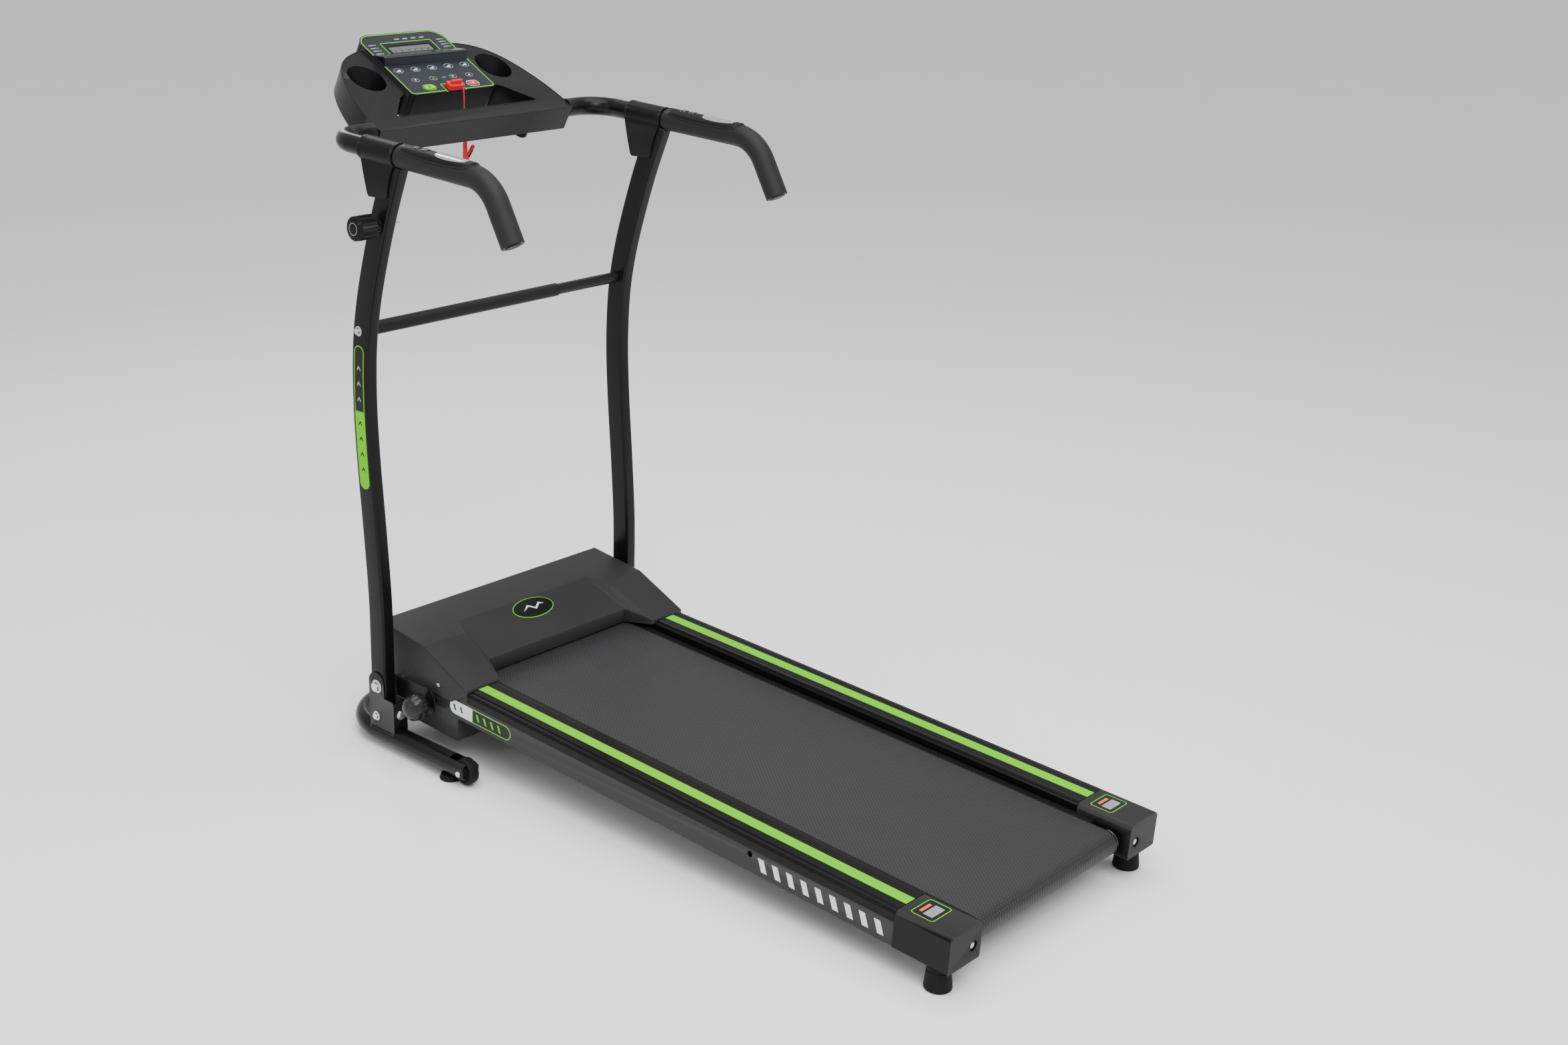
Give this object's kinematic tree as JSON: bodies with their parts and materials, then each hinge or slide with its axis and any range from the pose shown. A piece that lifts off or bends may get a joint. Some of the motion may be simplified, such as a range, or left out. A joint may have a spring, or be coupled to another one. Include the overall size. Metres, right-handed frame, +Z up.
{
  "type": "treadmill",
  "caption": "Folding home treadmill: a running deck hinged to curved uprights on a U-shaped base, with bent hand rails and a sloping console.",
  "frame": {"origin": "on the floor, under the centre of the bounding box", "axes": "+X to the runner's right, +Y the way the runner faces (deck to console), +Z up"},
  "size_m": [0.691, 1.4896, 1.2032],
  "materials": {
    "frame_paint": "satin black powder coat",
    "moulded_black": "fine-textured black moulding",
    "console_plastic": "dark grey textured moulding",
    "hood_plastic": "dark grey textured moulding",
    "end_cap_plastic": "black, half gloss",
    "rail_plastic": "ribbed black extrusion with a lime stripe",
    "gloss_black": "polished black",
    "grip_foam": "closed-cell foam sleeve",
    "foot_rubber": "black rubber",
    "wheel_rubber": "black moulded wheel",
    "drive_rubber": "ribbed drive belt",
    "belt_fabric": "woven belt with a fine diamond grain",
    "board_wood": "waxed fibreboard",
    "zinc": "zinc plated",
    "roller_steel": "turned steel",
    "pulse_sensor": "black shell with polished steel contact plates",
    "motor_paint": "dark enamel",
    "sheet_metal": "silver grey sheet",
    "panel": "printed blue-grey film with a lime border",
    "display": "clear window over a grey display",
    "board_green": "green laminate",
    "start_green": "lime green key",
    "red_plastic": "red moulding",
    "cord_red": "red braided cord"
  },
  "bodies": {
    "frame": {"base_frame": "frame_paint", "left_front_pad": "foot_rubber", "right_front_pad": "foot_rubber", "left_leg_pad": "foot_rubber", "right_leg_pad": "foot_rubber", "left_wheel_axle": "zinc", "right_wheel_axle": "zinc", "left_upright": "frame_paint", "right_upright": "frame_paint", "left_foot_bolt": "zinc", "right_foot_bolt": "zinc", "left_pivot_bolt": "zinc", "right_pivot_bolt": "zinc", "crossbar": "frame_paint", "crossbar_sleeve": "moulded_black", "lock_bracket": "frame_paint", "handlebar": "frame_paint", "left_grip": "grip_foam", "right_grip": "grip_foam", "left_head_clamp": "moulded_black", "right_head_clamp": "moulded_black", "left_pulse_sensor": "pulse_sensor", "right_pulse_sensor": "pulse_sensor", "console_tray": "console_plastic", "tray_clamp_knob": "foot_rubber", "console_housing": "moulded_black", "console_panel": "panel", "display_lens": "display", "circuit_board": "board_green", "device_ledge": "gloss_black"},
    "deck": {"deck_frame": "frame_paint", "left_foot_rail": "rail_plastic", "right_foot_rail": "rail_plastic", "deck_board": "board_wood", "left_end_cap": "end_cap_plastic", "right_end_cap": "end_cap_plastic", "left_rear_foot": "foot_rubber", "right_rear_foot": "foot_rubber", "running_belt": "belt_fabric", "front_shaft": "roller_steel", "rear_shaft": "roller_steel", "drive_motor": "motor_paint", "drive_belt": "drive_rubber", "motor_hood": "hood_plastic", "belly_pan": "sheet_metal", "power_inlet": "moulded_black", "motor_controller": "sheet_metal"},
    "left_wheel": {"left_wheel": "wheel_rubber"},
    "right_wheel": {"right_wheel": "wheel_rubber"},
    "fold_lock": {"fold_lock_knob": "gloss_black"},
    "upper_lock": {"upper_lock_knob": "moulded_black"},
    "front_roller": {"front_roller": "roller_steel"},
    "rear_roller": {"rear_roller": "roller_steel"},
    "flywheel": {"motor_flywheel": "roller_steel"},
    "start_key": {"start_key": "start_green"},
    "stop_key": {"stop_key": "red_plastic"},
    "power_switch": {"power_switch": "red_plastic"},
    "safety_key": {"safety_key": "red_plastic", "key_cord": "cord_red", "key_clip": "red_plastic"}
  },
  "joints": [
    {"name": "deck_fold", "type": "hinge", "parent": "frame", "child": "deck", "pos_m": [0.0195, 0.4404, 0.1205], "axis": [-1, 0, 0], "range_deg": [0, 89]},
    {"name": "left_wheel_spin", "type": "hinge", "parent": "frame", "child": "left_wheel", "pos_m": [-0.283, 0.2226, 0.027], "axis": [1, 0, 0], "continuous": true},
    {"name": "right_wheel_spin", "type": "hinge", "parent": "frame", "child": "right_wheel", "pos_m": [0.322, 0.2226, 0.027], "axis": [1, 0, 0], "continuous": true},
    {"name": "front_roller_spin", "type": "hinge", "parent": "deck", "child": "front_roller", "pos_m": [0.0195, 0.34551, 0.11952], "axis": [1, 0, 0], "continuous": true},
    {"name": "rear_roller_spin", "type": "hinge", "parent": "deck", "child": "rear_roller", "pos_m": [0.0195, -0.71222, 0.06766], "axis": [1, 0, 0], "continuous": true},
    {"name": "motor_spin", "type": "hinge", "parent": "deck", "child": "flywheel", "pos_m": [0.1945, 0.42654, 0.14142], "axis": [1, 0, 0], "continuous": true},
    {"name": "fold_lock_slide", "type": "slide", "parent": "frame", "child": "fold_lock", "axis": [1, 0, 0], "range_m": [-0.01, 0.008]},
    {"name": "upper_lock_slide", "type": "slide", "parent": "frame", "child": "upper_lock", "axis": [1, 0, 0], "range_m": [-0.01, 0.008]},
    {"name": "start_key_press", "type": "slide", "parent": "frame", "child": "start_key", "axis": [0, 0.4863, -0.8738], "range_m": [0, 0.001], "stiffness_N_per_m": 300, "springref_m": -0.001},
    {"name": "stop_key_press", "type": "slide", "parent": "frame", "child": "stop_key", "axis": [0, 0.4863, -0.8738], "range_m": [0, 0.001], "stiffness_N_per_m": 300, "springref_m": -0.001},
    {"name": "safety_key_pull", "type": "slide", "parent": "frame", "child": "safety_key", "axis": [0, -0.4863, 0.8738], "range_m": [0, 0.008]},
    {"name": "power_switch_rock", "type": "hinge", "parent": "deck", "child": "power_switch", "pos_m": [-0.1655, 0.50803, 0.09255], "axis": [1, 0, 0], "range_deg": [0, 16]}
  ],
  "couplings": [
    {"joint": "rear_roller_spin", "follows": "front_roller_spin", "ratio": 1},
    {"joint": "motor_spin", "follows": "front_roller_spin", "ratio": 2.5455}
  ]
}
